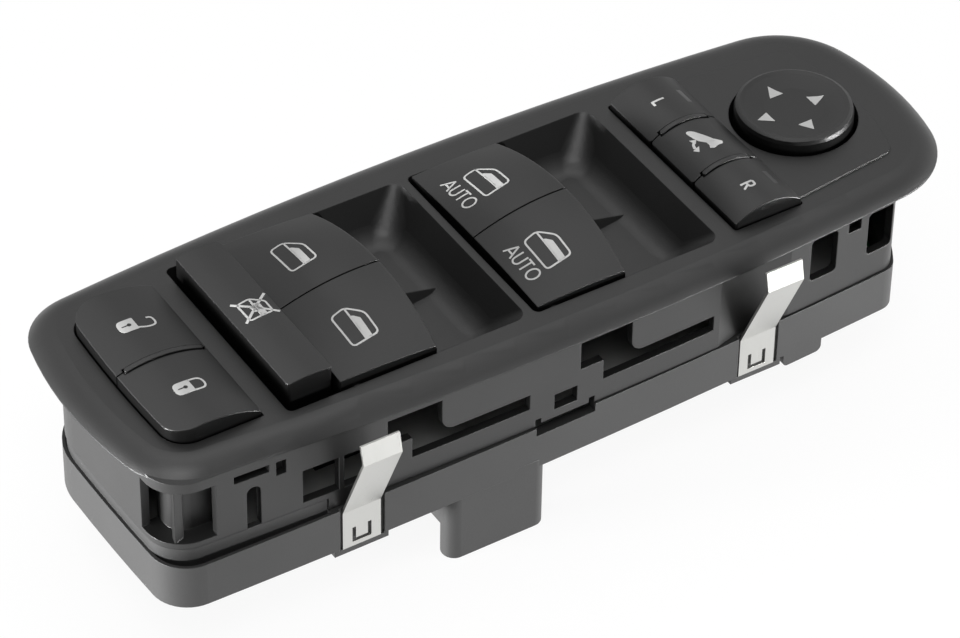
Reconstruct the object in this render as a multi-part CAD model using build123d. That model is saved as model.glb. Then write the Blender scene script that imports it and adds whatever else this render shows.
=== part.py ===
"""Driver's door master power window switch, in millimetres.

The origin is the middle of the rim's seat plane, the flat underside of the bezel
that lies on the door trim. +X runs towards the mirror knob, +Z points out of the trim.
"""
from build123d import *
import math
import os

# Bezel seen from above
bezel_left_reach = 109.3
bezel_right_reach = 107.6
bezel_half_width = 37.9
bezel_side_bow = 950
bezel_bow_x = -3
bezel_left_bow = 105
bezel_right_bow = 70
bezel_left_corner = 15
bezel_right_corner = 22
# Bezel in height
face_height = 3.0
edge_roll = 8.0
plateau_rise = 0.5
plateau_corner = 3.5
plateau_left = 60.0
plateau_left_half = 25.2
plateau_corner_x = 91.0
plateau_corner_half = 21.8
plateau_right = 94.8

# Body below the rim
body_left_reach = 105.6
body_right_reach = 95.7
body_half_width = 35.9
body_side_bow = 1400
body_bow_x = -20
body_left_bow = 600
body_right_bow = 54
body_left_corner = 9
body_far_corner = 17
body_right_corner = 5
least_corner = 0.8
skirt_wall = 2.0
skirt_depth = 21.3
left_skirt_depth = 18.1
left_zone_end = -66
right_zone_start = 58
far_wall_y = 23.6

# Lower case
base_proud_far = 0.6
base_left_reach = 106.1
base_right_reach = 96.6
base_half_width = 36.8
base_side_bow = 2100
base_bow_x = -48
base_wall = 1.8
base_flange = 2.7
base_flange_height = 4.0
base_floor = 2.0
base_bottom = -33.0
seam_gap = 0.2
trough_lip = 0.8
trough_depth = 2.6
rim_inset = 0.3
rim_wall = 1.4
foot_left = 54.5
foot_right = 65.5
foot_drop = 3.4
foot_depth = 7.0
foot_corner = 1.5

# Controls, shared values
tub_wall = 2.0
cap_gap = 0.45
cap_wall = 1.6
cap_skirt_bottom = -3.2
deck_top = -5.2
deck_thickness = 1.8
slide_fit = 0.15
hook_reach = 0.7
hook_height = 1.6
hook_play = 0.2
stem_size = 7.0
split_gap = 0.4

# Lock and unlock buttons
lock_left = -98.4
lock_right = -75.9
lock_half_span = 24.4
lock_middle_y = -0.9
lock_left_bow = 340
lock_left_corner = 6.5
lock_edge_left = 5.4
lock_crest = 7.0
lock_edge_right = 4.0
button_travel = 1.3

# Lockout bar
bar_left = -69.6
bar_right = -58.6
bar_half_span = 24.6
bar_side_height = 8.0
bar_crest = 8.6
bar_travel = 2.0

# Window paddles
pocket_half_span = 27.3
rear_opening_left = -70.9
rear_paddle_left = -57.7
rear_paddle_right = -33.5
rear_pocket_right = -10.8
front_opening_left = -8.8
front_paddle_left = -7.8
front_paddle_right = 15.2
front_pocket_right = 39.9
paddle_bow = 1.6
paddle_swell = 1.4
paddle_edge_swell = 0.3
paddle_gap = 1.0
paddle_wall = 1.8
paddle_skirt_bottom = -1.5
paddle_edge_drop = 0.4
rear_crest_left = 5.5
rear_edge_left = 4.8
front_crest_left = 4.6
front_edge_left = 3.6
paddle_crest_right = 8.6
paddle_edge_right = 3.6
pivot_inset = 4.2
pivot_height = 1.0
trunnion_radius = 1.2
trunnion_fit = 0.05
trunnion_length = 1.5
web_thickness = 1.6
web_half_length = 2.1
web_rise = 0.45
leg_thickness = 2.6
leg_width = 6.0
leg_offset_y = 14.0
leg_swing_room = 1.4
paddle_lip_radius = 0.9
paddle_rib = 1.8
switch_length = 12.0
switch_width = 9.0
switch_height = 5.0
switch_floor = 1.2
switch_slot_room = 2.6
pocket_depth = 9.5
pocket_taper = 30
pocket_corner = 3.0
opening_corner = 1.5
pocket_floor_radius = 7.0
pocket_shell = 2.0
pocket_reach_under = 14.0
ridge_gap = 0.7
ridge_length = 18.0
ridge_height = 4.2
ridge_half_width = 2.6
ridge_tip_height = 0.3
ridge_tip_half = 0.5

# Mirror buttons
mirror_left = 44.3
mirror_right = 62.9
mirror_half_span = 26.1
mirror_middle_y = -0.6
mirror_split = 8.6
mirror_edge = 3.9
mirror_crest = 7.3
divider_width = 1.2
divider_rise = 0.3
divider_end = 3.0
lock_divider_left = 2.4
lock_divider_right = 1.2
divider_clear = 0.35
lens_width = 1.2
lens_length = 5.0
lens_inset = 2.6
lens_depth = 2.6

# Mirror knob
knob_x = 78.8
knob_hole_radius = 14.9
knob_radius = 13.8
knob_top = 7.1
knob_dish = 1.1
knob_ring_radius = 11.6
knob_dish_flat = 7.0
knob_ring_drop = 0.35
knob_wall = 1.8
knob_skirt_bottom = 0.0
knob_tub_wall = 1.8
knob_floor = -12.0
knob_floor_thickness = 1.6
gimbal_height = -6.0
gimbal_outer = 8.4
gimbal_inner = 6.2
gimbal_thickness = 3.6
gimbal_pin_radius = 1.2
knob_hub_radius = 4.4
knob_stem_radius = 2.4
knob_foot_radius = 7.0
knob_stem_room = 1.1
gimbal_play = 0.4
gimbal_post = 2.4

# Board stack
board_top = -26.6
board_thickness = 1.6
board_clear = 0.8
mat_thickness = 1.0
dome_height = 2.2
dome_radius = 3.2
small_dome_radius = 2.0
stem_play = 0.3
led_size = 1.6
board_post_radius = 2.2
actuator_thickness = 2.0
finger_size = 2.4
knob_finger_drop = 0.7

# Front wall openings: left edge, right edge, top, bottom
narrow_slot = (-88.5, -80.1, -1.9, -3.9)
small_square = (-78.5, -76.1, -2.0, -5.8)
arched_slot = (-85.6, -82.2, -6.6)
side_window = (-72.2, -53.5, -7.3, -16.5)
side_window_bar = 1.2
pocket_window_left = -51.5
pocket_window_width = 13.6
pocket_window_top = -2.4
pocket_window_bottom = -9.9
long_slot_offset = 6.1
long_slot_length = 30.0
long_slot_top = -11.3
long_slot_bottom = -15.5
tongue_radius = 3.2
window_pitch = 49.2
snap_left = -9.0
snap_width = 6.0
snap_top = -14.2
snap_height = 4.3
bracket_left = -13.9
bracket_width = 15.6
bracket_slot_top = -20.8
bracket_slot_bottom = -23.7
bracket_end_width = 1.5
bracket_end_rise = 1.4
tall_window_lefts = (60.8, 77.3)
tall_window_width = 7.6
tall_window_top = -2.4
tall_window_bottom = -14.2
tall_window_corner = 1.2
right_square = (71.5, 75.1, -2.3, -5.1)
corner_pocket_reach = 12.9
corner_pocket_width = 12.4
corner_pocket_top = -2.2
corner_pocket_bottom = -16.6
corner_pocket_depth = 4.5
corner_ridge_inset_x = 4.0
corner_ridge_inset_y = 4.3
corner_liner_wall = 1.2
corner_reach_out = 25

# Spring clips
clip_width = 9.6
clip_metal = 0.6
clip_lefts = (-63.4, 42.0)
clip_foot_bottom = -33.5
clip_bend = -22.8
clip_knee_out = 9.0
clip_knee = -2.0
clip_lip_in = 1.1
clip_tip = 2.7
clip_side_room = 0.8
clip_pocket_depth = 0.9
clip_boss_drop = 2.0
clip_boss_depth = 6.0
clip_boss_wall = 1.2
clip_recess_radius = 35.0
clip_recess_depth = 1.4

# Connector
shroud_left = -36.2
shroud_right = -10.7
shroud_length_y = 19.0
shroud_drop = 9.0
guard_drop = 17.6
guard_depth = 6.2
shroud_wall = 1.8
shroud_corner = 3.0
pin_size = 0.7
pin_columns = 8
pin_rows = 3
pin_pitch_x = 2.6
pin_pitch_y = 4.0
pin_tip = -40.0


def block(x0, x1, y0, y1, z0, z1):
    """Box given by its six faces."""
    return Pos((x0 + x1) / 2, (y0 + y1) / 2, (z0 + z1) / 2) * Box(x1 - x0, y1 - y0, z1 - z0)


def rounded_block(x0, x1, y0, y1, z0, z1, radius):
    """Box with rounded upright edges."""
    plan = Pos((x0 + x1) / 2, (y0 + y1) / 2, z0) * RectangleRounded(x1 - x0, y1 - y0, radius)
    return extrude(plan, z1 - z0)


def far_side(radius, side):
    """Area beside a disc's middle, so that only one side of the disc bounds an outline."""
    return Rectangle(1000, 2 * radius, align=(side, Align.CENTER))


def bowed_plan(left, right, half_width, side_bow, bow_x, left_bow, right_bow, left_corner, right_corner,
               inset=0.0, far_y=None, far_corner=None):
    """Outline of bowed sides with rounded corners, moved inwards by inset; far_y sets a straight far side."""
    front = Pos(bow_x, side_bow - half_width) * Circle(side_bow - inset)
    back = Pos(bow_x, half_width - side_bow) * Circle(side_bow - inset)
    if far_y is not None:
        back = Pos(0, far_y - inset) * Rectangle(4 * left, 4 * half_width, align=(Align.CENTER, Align.MAX))
    left_centre = left_bow - left
    right_centre = right - right_bow
    left_end = Pos(left_centre, 0) * (Circle(left_bow - inset) + far_side(left_bow - inset, Align.MIN))
    right_end = Pos(right_centre, 0) * (Circle(right_bow - inset) + far_side(right_bow - inset, Align.MAX))
    plan = front & back & left_end & right_end
    far_left = plan.vertices().sort_by(Axis.X)[:2].sort_by(Axis.Y)[-1]
    plan = fillet(far_left, max((far_corner or left_corner) - inset, least_corner))
    near_left = plan.vertices().sort_by(Axis.Y)[:2].sort_by(Axis.X)[0]
    plan = fillet(near_left, max(left_corner - inset, least_corner))
    return fillet(plan.vertices().sort_by(Axis.X)[-2:], max(right_corner - inset, least_corner))


def bezel_plan(inset=0.0):
    return bowed_plan(bezel_left_reach, bezel_right_reach, bezel_half_width, bezel_side_bow, bezel_bow_x,
                      bezel_left_bow, bezel_right_bow, bezel_left_corner, bezel_right_corner, inset)


def body_plan(inset=0.0):
    """Outline of the body below the rim."""
    return bowed_plan(body_left_reach, body_right_reach, body_half_width, body_side_bow, body_bow_x,
                      body_left_bow, body_right_bow, body_left_corner, body_right_corner, inset, far_wall_y,
                      body_far_corner)


def base_plan(inset=0.0):
    """Outline of the lower case."""
    return bowed_plan(base_left_reach, base_right_reach, base_half_width, base_side_bow, base_bow_x,
                      body_left_bow, body_right_bow, body_left_corner, body_right_corner, inset,
                      far_wall_y + base_proud_far, body_far_corner)


def prism(plan, z0, z1):
    return extrude(Pos(0, 0, z0) * plan, z1 - z0)


def arch_height(x, x0, x1, left_z, crest_z, right_z):
    """Height of the arc through three points of a cap's crown."""
    middle = (x0 + x1) / 2
    return (left_z * (x - middle) * (x - x1) / ((x0 - middle) * (x0 - x1))
            + crest_z * (x - x0) * (x - x1) / ((middle - x0) * (middle - x1))
            + right_z * (x - x0) * (x - middle) / ((x1 - x0) * (x1 - middle)))


def crowned(x0, x1, y0, y1, bottom, left_z, crest_z, right_z):
    """Solid with a top crowned along X."""
    arc = ThreePointArc((x0, y0, left_z), ((x0 + x1) / 2, y0, crest_z), (x1, y0, right_z))
    rest = Polyline((x1, y0, right_z), (x1, y0, bottom), (x0, y0, bottom), (x0, y0, left_z))
    face = make_face(Curve() + arc + rest)
    return extrude(face, amount=y1 - y0, dir=(0, 1, 0))


def stem(x, y, top, bottom):
    """Square stem with two hooks that stop it under the deck."""
    half = stem_size / 2
    deck_bottom = deck_top - deck_thickness
    post = block(x - half, x + half, y - half, y + half, bottom, top)
    hook_top = deck_bottom - hook_play
    hooks = block(x - half - hook_reach, x + half + hook_reach, y - half / 2, y + half / 2,
                  hook_top - hook_height, hook_top)
    return post + hooks


def stem_hole(x, y, deck_z0, deck_z1):
    half = stem_size / 2 + slide_fit
    return block(x - half, x + half, y - half, y + half, deck_z0 - 1, deck_z1 + 1)


def dome_top():
    return board_top + mat_thickness + dome_height


def stem_bottom(travel):
    return dome_top() + travel + stem_play


def lock_plan(y0, y1, inset):
    """Plan of the lock opening or of one cap: bowed left side, round left corners."""
    left_side = Pos(lock_left + lock_left_bow, lock_middle_y) * Circle(lock_left_bow - inset)
    area = Pos((lock_left - lock_left_bow / 10 + lock_right - inset) / 2, (y0 + y1) / 2) * Rectangle(
        lock_right - inset - lock_left + lock_left_bow / 10, y1 - y0)
    return left_side & area


def lock_opening(inset=0.0):
    half = lock_half_span - inset
    plan = lock_plan(lock_middle_y - half, lock_middle_y + half, inset)
    corners = plan.vertices().sort_by(Axis.X)[:2]
    return fillet(corners, lock_left_corner - inset)


def paddle_sizes(group):
    """Left edge, right edge, opening left edge, pocket right edge, left crest and left edge heights."""
    if group == "rear":
        return (rear_paddle_left, rear_paddle_right, rear_opening_left, rear_pocket_right,
                rear_crest_left, rear_edge_left)
    return (front_paddle_left, front_paddle_right, front_opening_left, front_pocket_right,
            front_crest_left, front_edge_left)


def pocket_cavity(group, grow):
    """Space of one paddle opening and its finger pocket; grow makes the moulding round it."""
    left, right, opening_left, pocket_right = paddle_sizes(group)[:4]
    floor = face_height - pocket_depth - grow
    under = rounded_block(opening_left - grow, right + paddle_bow + 1, -pocket_half_span - grow,
                          pocket_half_span + grow, floor, face_height, opening_corner + grow)
    start = right - pocket_reach_under
    draft = pocket_depth * math.tan(math.radians(pocket_taper))
    middle = (start + pocket_right) / 2
    length = pocket_right - start + 2 * grow
    width = 2 * (pocket_half_span + grow)
    mouth = Pos(middle, 0, face_height) * RectangleRounded(length, width, pocket_corner + grow)
    floor_corner = pocket_floor_radius + grow + 0.5
    base = Pos(middle, 0, floor) * RectangleRounded(length - 2 * draft, width - 2 * draft, floor_corner)
    bowl = loft([mouth, base])
    bowl = fillet(bowl.edges().group_by(Axis.Z)[0], pocket_floor_radius)
    return under, bowl


def floor_ridge(group):
    """Tapered ridge on the pocket floor, in line with the split between the paddles."""
    right = paddle_sizes(group)[1]
    floor = face_height - pocket_depth
    sections = []
    for x, height, half in ((right + paddle_bow + ridge_gap, ridge_height, ridge_half_width),
                            (right + ridge_length, ridge_tip_height, ridge_tip_half)):
        points = [(x, -half, floor - 0.5), (x, half, floor - 0.5), (x, 0, floor + height)]
        sections.append(Wire(Polyline(*points, close=True).edges()))
    return Solid.make_loft(sections, ruled=True)


def pivot_x(group):
    return paddle_sizes(group)[0] + pivot_inset


def rod_y(x, y0, y1, z, radius):
    return Pos(x, (y0 + y1) / 2, z) * Rot(90, 0, 0) * Cylinder(radius, y1 - y0)


def rod_x(x0, x1, y, z, radius):
    return Pos((x0 + x1) / 2, y, z) * Rot(0, 90, 0) * Cylinder(radius, x1 - x0)


def plateau_plan():
    """Raised field round the mirror knob."""
    near = plateau_left, -plateau_left_half
    corner = plateau_corner_x, -plateau_corner_half
    sides = Polyline((plateau_corner_x, plateau_corner_half), (plateau_left, plateau_left_half), near, corner)
    end = ThreePointArc(corner, (plateau_right, 0), (plateau_corner_x, plateau_corner_half))
    plan = make_face(Curve() + sides + end)
    return fillet(plan.vertices().sort_by(Axis.X)[-2:], plateau_corner)


def rim_and_skirt():
    """Face with its rolled edge, and the wall below it."""
    overhang = edge_roll - math.sqrt(edge_roll ** 2 - (edge_roll - face_height) ** 2)
    face = prism(bezel_plan(-overhang), face_height - edge_roll, face_height)
    face = fillet(face.edges().group_by(Axis.Z)[-1], edge_roll - 0.001)
    face = face & block(-200, 200, -100, 100, 0, face_height)
    face += prism(plateau_plan(), 0, face_height + plateau_rise)
    skirt = prism(body_plan() - body_plan(skirt_wall), -skirt_depth, 0.5)
    skirt -= block(-200, left_zone_end, -100, 100, -skirt_depth - 1, -left_skirt_depth)
    return face + skirt


def control_points():
    """Middle of each sliding button's stem, with its travel."""
    lock_x = (lock_left + lock_right) / 2
    lock_y = lock_half_span / 2
    mirror_x = (mirror_left + mirror_right) / 2
    mirror_y = (mirror_half_span + mirror_split) / 2
    return {
        "unlock_button": (lock_x, lock_middle_y + lock_y, button_travel),
        "lock_button": (lock_x, lock_middle_y - lock_y, button_travel),
        "lockout_button": ((bar_left + bar_right) / 2, 0, bar_travel),
        "mirror_left_button": (mirror_x, mirror_middle_y + mirror_y, button_travel),
        "mirror_fold_button": (mirror_x, mirror_middle_y, button_travel),
        "mirror_right_button": (mirror_x, mirror_middle_y - mirror_y, button_travel),
    }


def knob_finger_points():
    return [(knob_x + knob_foot_radius * math.cos(math.radians(a)),
             knob_foot_radius * math.sin(math.radians(a))) for a in (0, 90, 180, 270)]


def divider(x0, x1, y, left_z, crest_z, right_z):
    """Thin wall between two caps, standing a little above their crown."""
    rise = divider_rise
    bar = crowned(x0, x1, y - divider_width / 2, y + divider_width / 2, deck_top - 0.5,
                  left_z + rise, crest_z + rise, right_z + rise)
    return fillet(bar.edges().filter_by(Axis.Z), divider_width / 2 - 0.05)


def lock_divider(grow=0.0):
    x0 = lock_left + lock_divider_left
    x1 = lock_right - lock_divider_right
    if grow:
        half = divider_width / 2 + grow
        return block(x0 - grow, x1 + grow, lock_middle_y - half, lock_middle_y + half, -20, 20)
    heights = [arch_height(x, lock_left, lock_right, lock_edge_left, lock_crest, lock_edge_right)
               for x in (x0, (x0 + x1) / 2, x1)]
    return divider(x0, x1, lock_middle_y, *heights)


def mirror_dividers(grow=0.0):
    x0 = mirror_left + divider_end
    x1 = mirror_right - divider_end
    rows = []
    for y in (mirror_middle_y - mirror_split, mirror_middle_y + mirror_split):
        if grow:
            rows.append(block(x0 - grow, x1 + grow, y - divider_width / 2 - grow,
                              y + divider_width / 2 + grow, -20, 20))
        else:
            heights = [arch_height(x, mirror_left, mirror_right, mirror_edge, mirror_crest, mirror_edge)
                       for x in (x0, (x0 + x1) / 2, x1)]
            rows.append(divider(x0, x1, y, *heights))
    return rows


def front_wall_openings():
    """Everything cut through the near wall of the skirt."""
    near = -body_half_width - 3

    def back_of(x0, x1):
        faces = [wall_y(x, body_half_width, body_side_bow, body_bow_x) for x in (x0, x1)]
        return max(faces) + skirt_wall + 1

    def hole(x0, x1, top, bottom):
        return block(x0, x1, near, back_of(x0, x1), bottom, top)

    def rounded_hole(x0, x1, top, bottom, radius):
        shape = hole(x0, x1, top, bottom)
        return fillet(shape.edges().filter_by(Axis.Y), radius)

    cuts = [hole(*narrow_slot), hole(*small_square), hole(*right_square)]
    arch_x0, arch_x1, arch_top = arched_slot
    arch = rounded_hole(arch_x0, arch_x1, arch_top, -left_skirt_depth - 5, (arch_x1 - arch_x0) / 2 - 0.05)
    cuts.append(arch)
    side_x0, side_x1, side_top, side_bottom = side_window
    cuts.append(hole(side_x0, clip_lefts[0], side_top, side_bottom))
    cuts.append(hole(clip_lefts[0] + side_window_bar, side_x1, side_top, side_bottom))
    for pitch in (0, window_pitch):
        x0 = pocket_window_left + pitch
        x1 = x0 + pocket_window_width
        slot_x0 = x0 + long_slot_offset
        slot_x1 = slot_x0 + long_slot_length
        cuts.append(hole(x0, slot_x0 + 1, pocket_window_top, pocket_window_bottom))
        tall = hole(slot_x0, x1, pocket_window_top, long_slot_bottom)
        slot = hole(slot_x0, slot_x1, long_slot_top, long_slot_bottom)
        inner = back_of(x0, slot_x1)
        tongue_foot = Pos(x1, (near + inner) / 2, long_slot_top) * Box(
            2 * tongue_radius, inner - near, 2 * tongue_radius)
        tongue_round = Pos(x1 + tongue_radius, (near + inner) / 2, long_slot_top + tongue_radius) * Rot(
            90, 0, 0) * Cylinder(tongue_radius, inner - near)
        tongue = (tongue_foot - tongue_round) & hole(x1, x1 + tongue_radius, long_slot_top + tongue_radius,
                                                     long_slot_top)
        cuts += [tall, slot, tongue]
    cuts.append(hole(snap_left, snap_left + snap_width, snap_top, snap_top - snap_height))
    cuts.append(hole(bracket_left, bracket_left + bracket_width, bracket_slot_top, bracket_slot_bottom))
    for x0 in (bracket_left, bracket_left + bracket_width - bracket_end_width):
        cuts.append(hole(x0, x0 + bracket_end_width, bracket_slot_top + bracket_end_rise, bracket_slot_bottom))
    for x0 in tall_window_lefts:
        cuts.append(rounded_hole(x0, x0 + tall_window_width, tall_window_top, tall_window_bottom,
                                 tall_window_corner))
    return cuts


def wall_y(x, half_width, side_bow, bow_x):
    """Place of the near wall's outer face at x."""
    return -half_width + side_bow - math.sqrt(side_bow ** 2 - (x - bow_x) ** 2)


def corner_zone(margin=0.0):
    """Area round the near left corner of the body, as far along each wall as the corner pocket goes."""
    length = corner_reach_out + corner_pocket_reach + margin
    width = corner_reach_out + corner_pocket_width + margin
    zone = Rectangle(length, width, align=(Align.MIN, Align.MIN))
    return Pos(-body_left_reach - corner_reach_out, -body_half_width - corner_reach_out) * zone


def corner_pocket():
    """Recess round the near left corner of the skirt, with an upright ridge in its middle."""
    outside = body_plan(-2) - body_plan(corner_pocket_depth)
    area = outside & corner_zone()
    ridge_x = -body_left_reach + corner_ridge_inset_x
    ridge_y = -body_half_width + corner_ridge_inset_y
    ridge = make_face(Polyline((ridge_x, ridge_y), (ridge_x + 14, ridge_y + 3), (ridge_x + 3, ridge_y + 14),
                               close=True))
    return prism(area - ridge, corner_pocket_bottom, corner_pocket_top)


def corner_pocket_liner():
    """Inner wall behind the corner recess, so that the case stays closed there."""
    back = body_plan(corner_pocket_depth + corner_liner_wall)
    zone = corner_zone(corner_liner_wall)
    wall = body_plan(corner_pocket_depth) - back
    corner = (body_plan(skirt_wall - 0.2) - back) & zone
    foot = corner_pocket_bottom - corner_liner_wall
    return prism(wall & zone, foot, 0.5) + prism(corner, foot, corner_pocket_bottom)


def bezel():
    body = rim_and_skirt() + corner_pocket_liner()
    deck_z0 = deck_top - deck_thickness
    for group in ("rear", "front"):
        under, bowl = pocket_cavity(group, pocket_shell)
        body += (under + bowl) & block(-200, 200, -100, 100, -50, 0.5)
    body += prism(lock_opening(-tub_wall), deck_z0, 0.5)
    mirror_y0 = mirror_middle_y - mirror_half_span
    mirror_y1 = mirror_middle_y + mirror_half_span
    body += rounded_block(mirror_left - tub_wall, mirror_right + tub_wall, mirror_y0 - tub_wall,
                          mirror_y1 + tub_wall, deck_z0, 0.5, 1.5)
    body += Pos(knob_x, 0, (knob_floor - knob_floor_thickness) / 2) * Cylinder(
        knob_hole_radius + knob_tub_wall, knob_floor_thickness - knob_floor)

    top = face_height + plateau_rise + 1
    body -= prism(lock_opening(), deck_top, top)
    body -= rounded_block(mirror_left, mirror_right, mirror_y0, mirror_y1, deck_top, top, 0.8)
    body -= Pos(knob_x, 0, (knob_floor + top) / 2) * Cylinder(knob_hole_radius, top - knob_floor)
    floor = face_height - pocket_depth
    for group in ("rear", "front"):
        under, bowl = pocket_cavity(group, 0)
        body -= under + bowl
        hinge = pivot_x(group)
        body += floor_ridge(group)
        body += block(hinge - web_half_length, hinge + web_half_length, -web_thickness / 2, web_thickness / 2,
                      floor - 0.5, pivot_height + trunnion_radius + web_rise)
        reach = pocket_half_span + trunnion_length + 0.4
        body -= rod_y(hinge, -reach, reach, pivot_height, trunnion_radius + trunnion_fit)
        for side in (-1, 1):
            half_x = leg_thickness / 2 + leg_swing_room
            half_y = leg_width / 2 + 0.5
            body -= block(hinge - half_x, hinge + half_x, side * leg_offset_y - half_y,
                          side * leg_offset_y + half_y, floor - 10, floor + 1)
    points = control_points()
    for name, (x, y, travel) in points.items():
        if name == "lockout_button":
            body -= stem_hole(x, y, floor - pocket_shell, floor)
        else:
            body -= stem_hole(x, y, deck_z0, deck_top)
    body += lock_divider()
    for bar in mirror_dividers():
        body += bar
    body -= Pos(knob_x, 0, knob_floor) * Cylinder(knob_stem_radius + knob_stem_room, 10)
    for side in (-1, 1):
        x0 = gimbal_outer + gimbal_play
        post = block(x0, x0 + gimbal_post, -gimbal_post, gimbal_post, knob_floor - 0.5,
                     gimbal_height + gimbal_pin_radius + 1.2)
        post = post if side > 0 else mirror(post, Plane.YZ)
        body += Pos(knob_x, 0, 0) * post
    body -= rod_x(knob_x - gimbal_outer - gimbal_play - gimbal_post - 1,
                  knob_x + gimbal_outer + gimbal_play + gimbal_post + 1, 0, gimbal_height,
                  gimbal_pin_radius + trunnion_fit)
    for cut in front_wall_openings():
        body -= cut
    body -= corner_pocket()
    recess_x = clip_lefts[1] + clip_width / 2
    recess_y = wall_y(recess_x, body_half_width, body_side_bow, body_bow_x) + clip_recess_depth - clip_recess_radius
    body -= Pos(recess_x, recess_y, -skirt_depth / 2 - 1) * Cylinder(clip_recess_radius, skirt_depth)
    return body


def paddle_envelope(group, lower=0.0):
    """Domed block that a pair of paddles is cut from; lower moves its top down."""
    left, right = paddle_sizes(group)[:2]
    crest_left, edge_left = paddle_sizes(group)[4:]
    front = right + paddle_bow
    middle_edge = (edge_left + paddle_edge_right) / 2 + paddle_edge_swell
    middle_crest = (crest_left + paddle_crest_right) / 2 + paddle_swell
    sections = []
    for x, edge, crest in ((left, edge_left, crest_left), ((left + front) / 2, middle_edge, middle_crest),
                           (front, paddle_edge_right, paddle_crest_right)):
        half = pocket_half_span
        arc = ThreePointArc((x, -half, edge - lower), (x, 0, crest - lower), (x, half, edge - lower))
        sides = Polyline((x, half, edge - lower), (x, half, -30), (x, -half, -30), (x, -half, edge - lower))
        sections.append(Wire((Curve() + arc + sides).edges()))
    return Part() + Solid.make_loft(sections)


def paddle_plan(group, side, inset=0.0):
    """Plan of one paddle, with the bowed front edge; inset leaves its side at the split open."""
    left, right = paddle_sizes(group)[:2]
    half = pocket_half_span - paddle_gap
    bow = (half ** 2 + paddle_bow ** 2) / (2 * paddle_bow)
    front = Pos(right + paddle_bow - bow, 0) * Circle(bow - inset)
    start = split_gap / 2 if inset == 0 else 0
    rows = Pos(left + inset, side * (start + half - inset) / 2) * Rectangle(
        right + paddle_bow - left, half - inset - start, align=(Align.MIN, Align.CENTER))
    return front & rows


def paddle(group, side):
    """One window paddle: domed shell, two trunnions on its hinge line and the leg to its switch."""
    hinge = pivot_x(group)
    crest_left, edge_left = paddle_sizes(group)[4:]
    envelope = paddle_envelope(group)
    outer = prism(paddle_plan(group, side), paddle_skirt_bottom, 20) & envelope
    front_edges = outer.edges().filter_by(lambda edge: edge.center().Z > 4 and edge.bounding_box().size.Y > 5)
    front_edge = front_edges.sort_by(Axis.X)[-1]
    outer = fillet(front_edge, paddle_lip_radius)
    hollow = prism(paddle_plan(group, side, paddle_wall), paddle_skirt_bottom - 1, 20)
    shell = outer - (hollow & paddle_envelope(group, paddle_wall))
    inner_y = web_thickness / 2 + 0.3
    rib_y0, rib_y1 = sorted((side * inner_y, side * (inner_y + paddle_rib)))
    rib = block(hinge - 2.2, hinge + 2.2, rib_y0, rib_y1, paddle_skirt_bottom, 20) & outer
    leg_top = edge_left + 0.75 * (crest_left - edge_left) - paddle_wall + 0.7
    leg_y = side * leg_offset_y
    leg = block(hinge - leg_thickness / 2, hinge + leg_thickness / 2, leg_y - leg_width / 2,
                leg_y + leg_width / 2, switch_slot_floor() + stem_play, leg_top)
    outer_y = pocket_half_span - paddle_gap
    pin_y0, pin_y1 = sorted((side * (outer_y - paddle_wall), side * (outer_y + paddle_gap + trunnion_length)))
    inner_y0, inner_y1 = sorted((side * 0.15, side * (inner_y + paddle_rib)))
    pins = rod_y(hinge, pin_y0, pin_y1, pivot_height, trunnion_radius)
    pins += rod_y(hinge, inner_y0, inner_y1, pivot_height, trunnion_radius)
    return shell + rib + leg + pins


def switch_slot_floor():
    return board_top + switch_floor


def cap_shell(plan, inner_plan, x0, x1, heights):
    """Hollow cap with a crowned top."""
    left_z, crest_z, right_z = heights
    outer = plan & crowned(x0, x1, -50, 50, -30, left_z, crest_z, right_z)
    inner = inner_plan & crowned(x0, x1, -50, 50, -30, left_z - cap_wall, crest_z - cap_wall, right_z - cap_wall)
    return outer - inner


def lock_cap(side):
    name = "unlock_button" if side > 0 else "lock_button"
    x, y, travel = control_points()[name]
    inset = cap_gap
    half = lock_half_span - inset
    y0, y1 = sorted((lock_middle_y + side * split_gap / 2, lock_middle_y + side * half))
    row = Pos((lock_left + lock_right) / 2, (y0 + y1) / 2) * Rectangle(60, y1 - y0)
    plan = lock_opening(inset) & row
    inner_row = Pos((lock_left + lock_right) / 2, (y0 + y1) / 2) * Rectangle(60, y1 - y0 - 2 * cap_wall)
    inner_plan = lock_opening(inset + cap_wall) & inner_row
    heights = (lock_edge_left, lock_crest, lock_edge_right)
    cap = cap_shell(prism(plan, cap_skirt_bottom, 20), prism(inner_plan, cap_skirt_bottom - 1, 20),
                    lock_left, lock_right, heights)
    top = lock_crest - cap_wall + 0.5
    cap += stem(x, y, top, stem_bottom(travel))
    return cap - lock_divider(divider_clear)


def mirror_cap(name, y0, y1):
    x, y, travel = control_points()[name]
    y0 += mirror_middle_y
    y1 += mirror_middle_y
    x0 = mirror_left + cap_gap
    x1 = mirror_right - cap_gap / 2
    outer = rounded_block(x0, x1, y0, y1, cap_skirt_bottom, 20, 0.6)
    inner = block(x0 + cap_wall, x1 - cap_wall, y0 + cap_wall, y1 - cap_wall, cap_skirt_bottom - 1, 20)
    cap = cap_shell(outer, inner, mirror_left, mirror_right, (mirror_edge, mirror_crest, mirror_edge))
    cap += stem(x, y, mirror_crest - cap_wall + 0.5, stem_bottom(travel))
    for bar in mirror_dividers(divider_clear):
        cap -= bar
    return cap


def lens_space(side):
    """Window of a mirror button's indicator."""
    x1 = mirror_right - lens_inset
    middle = mirror_middle_y + side * (mirror_half_span + mirror_split) / 2
    space = block(x1 - lens_width, x1, middle - lens_length / 2, middle + lens_length / 2,
                  mirror_edge - lens_depth, 20)
    return space & crowned(mirror_left, mirror_right, -50, 50, -30, mirror_edge, mirror_crest, mirror_edge)


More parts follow.
